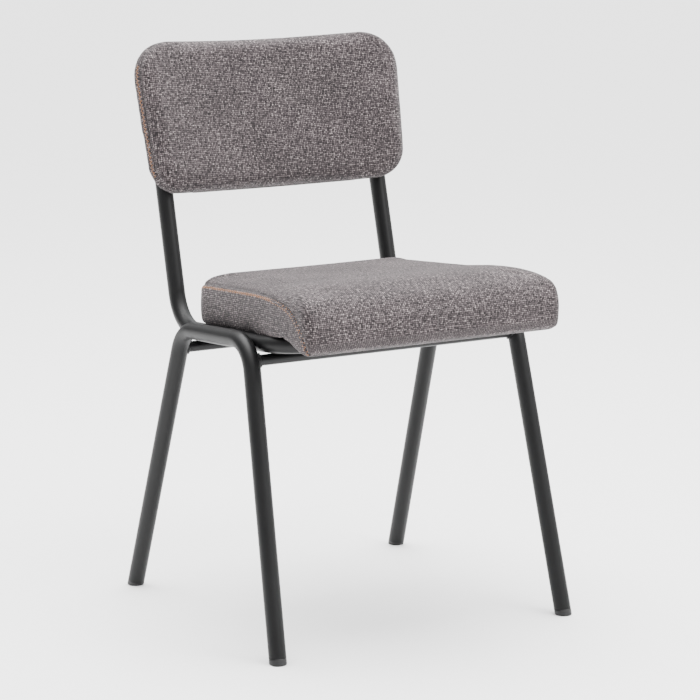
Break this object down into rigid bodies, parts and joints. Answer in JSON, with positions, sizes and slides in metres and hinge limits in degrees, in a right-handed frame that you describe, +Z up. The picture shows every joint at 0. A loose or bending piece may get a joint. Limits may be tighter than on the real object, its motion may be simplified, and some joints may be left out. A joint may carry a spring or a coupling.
{
  "type": "dining chair",
  "caption": "Armless dining chair with an upholstered seat and curved back pad on a bent round-tube steel frame with splayed legs",
  "frame": {"origin": "on the floor, at the middle of the chair's outline", "axes": "+Z up, -Y the way the chair faces, +X the left-right axis"},
  "size_m": [0.5028, 0.5376, 0.8243],
  "materials": {
    "frame": "satin graphite powder coat",
    "foot": "black moulded plastic",
    "plywood": "uncoated birch plywood",
    "foam": "cream open-cell upholstery foam",
    "cloth": "grey melange basket weave",
    "dust_cover": "black non-woven cloth",
    "fastener": "zinc-plated steel"
  },
  "bodies": {
    "root": {"leg_frame_left": "frame", "leg_frame_right": "frame", "back_seat_tube": "frame", "front_cross_tube": "frame", "rear_cross_tube": "frame", "cross_tube_welds": "frame", "rail_welds": "frame", "seat_fixing_tabs": "frame", "foot_glide_front_left": "foot", "foot_glide_rear_left": "foot", "foot_glide_front_right": "foot", "foot_glide_rear_right": "foot", "upright_plug_left": "foot", "upright_plug_right": "foot", "seat_board": "plywood", "seat_foam": "foam", "seat_side_panel_left": "cloth", "seat_side_panel_right": "cloth", "seat_cover_main": "cloth", "seat_dust_cover": "dust_cover", "seat_tee_nuts": "fastener", "seat_washers": "fastener", "seat_screws": "fastener", "back_board": "plywood", "back_foam": "foam", "back_rear_panel": "cloth", "back_side_panel_left": "cloth", "back_side_panel_right": "cloth", "back_cover_main": "cloth", "back_tee_nuts": "fastener", "back_washers": "fastener", "back_screws": "fastener"}
  },
  "joints": []
}
